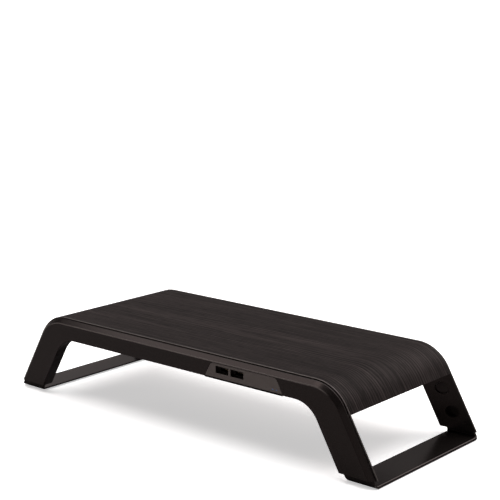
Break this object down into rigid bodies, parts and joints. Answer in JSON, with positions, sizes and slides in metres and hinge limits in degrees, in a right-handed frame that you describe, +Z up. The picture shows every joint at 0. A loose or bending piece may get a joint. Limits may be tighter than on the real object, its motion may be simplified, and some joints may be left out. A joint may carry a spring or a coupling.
{
  "type": "monitor riser stand",
  "caption": "Desk stand that lifts a monitor on a wood-topped arch, with slide-out legs, push-button latches and a front port hub.",
  "frame": {"origin": "centre of the stand's footprint, on the desk", "axes": "+X along the stand to its right end as seen from the front, -Y to the front, +Z up"},
  "size_m": [0.6422, 0.245, 0.1198],
  "materials": {
    "frame_plastic": "satin",
    "deck_plastic": "satin",
    "wood_grain": "matt",
    "inner_plastic": "matt",
    "screw_steel": "zinc plated",
    "fascia_plastic": "satin",
    "board_green": "solder mask",
    "port_steel": "satin",
    "insulator_plastic": "matt",
    "contact_brass": "plated",
    "component_black": "matt",
    "clear_plastic": "clear",
    "blue_light": "diffused",
    "foot_paint": "gloss",
    "pad_rubber": "matt",
    "button_plastic": "satin",
    "spring_steel": "satin"
  },
  "bodies": {
    "stand": {"front_frame": "frame_plastic", "rear_frame": "frame_plastic", "deck_shell": "deck_plastic", "wood_skin": "wood_grain", "rib_grid": "inner_plastic", "under_cover": "inner_plastic", "cover_screws": "screw_steel", "rail_screws": "screw_steel", "hub_fascia": "fascia_plastic", "hub_tray": "inner_plastic", "hub_lid": "inner_plastic", "hub_board": "board_green", "hub_screws": "screw_steel", "left_port_shell": "port_steel", "right_port_shell": "port_steel", "left_port_insulator": "insulator_plastic", "right_port_insulator": "insulator_plastic", "port_contacts": "contact_brass", "board_components": "component_black", "inlet_socket": "port_steel", "light_pipes": "clear_plastic", "status_lights": "blue_light"},
    "right_foot": {"right_foot_frame": "foot_paint", "front_right_foot_pad": "pad_rubber", "front_right_button_cup": "spring_steel", "front_right_button_spring": "spring_steel", "rear_right_foot_pad": "pad_rubber", "rear_right_button_cup": "spring_steel", "rear_right_button_spring": "spring_steel"},
    "left_foot": {"left_foot_frame": "foot_paint", "front_left_foot_pad": "pad_rubber", "front_left_button_cup": "spring_steel", "front_left_button_spring": "spring_steel", "rear_left_foot_pad": "pad_rubber", "rear_left_button_cup": "spring_steel", "rear_left_button_spring": "spring_steel"},
    "front_right_button": {"front_right_button": "button_plastic"},
    "rear_right_button": {"rear_right_button": "button_plastic"},
    "front_left_button": {"front_left_button": "button_plastic"},
    "rear_left_button": {"rear_left_button": "button_plastic"}
  },
  "joints": [
    {"name": "right_foot_slide", "type": "slide", "parent": "stand", "child": "right_foot", "axis": [0.5, 0, -0.866], "range_m": [0, 0.034]},
    {"name": "left_foot_slide", "type": "slide", "parent": "stand", "child": "left_foot", "axis": [-0.5, 0, -0.866], "range_m": [0, 0.034]},
    {"name": "front_right_button_press", "type": "slide", "parent": "right_foot", "child": "front_right_button", "axis": [0, -1, 0], "range_m": [0, 0.0024], "stiffness_N_per_m": 1500, "springref_m": -0.002, "deforming": ["front_right_button_spring"]},
    {"name": "rear_right_button_press", "type": "slide", "parent": "right_foot", "child": "rear_right_button", "axis": [0, 1, 0], "range_m": [0, 0.0024], "stiffness_N_per_m": 1500, "springref_m": -0.002, "deforming": ["rear_right_button_spring"]},
    {"name": "front_left_button_press", "type": "slide", "parent": "left_foot", "child": "front_left_button", "axis": [0, -1, 0], "range_m": [0, 0.0024], "stiffness_N_per_m": 1500, "springref_m": -0.002, "deforming": ["front_left_button_spring"]},
    {"name": "rear_left_button_press", "type": "slide", "parent": "left_foot", "child": "rear_left_button", "axis": [0, 1, 0], "range_m": [0, 0.0024], "stiffness_N_per_m": 1500, "springref_m": -0.002, "deforming": ["rear_left_button_spring"]}
  ]
}
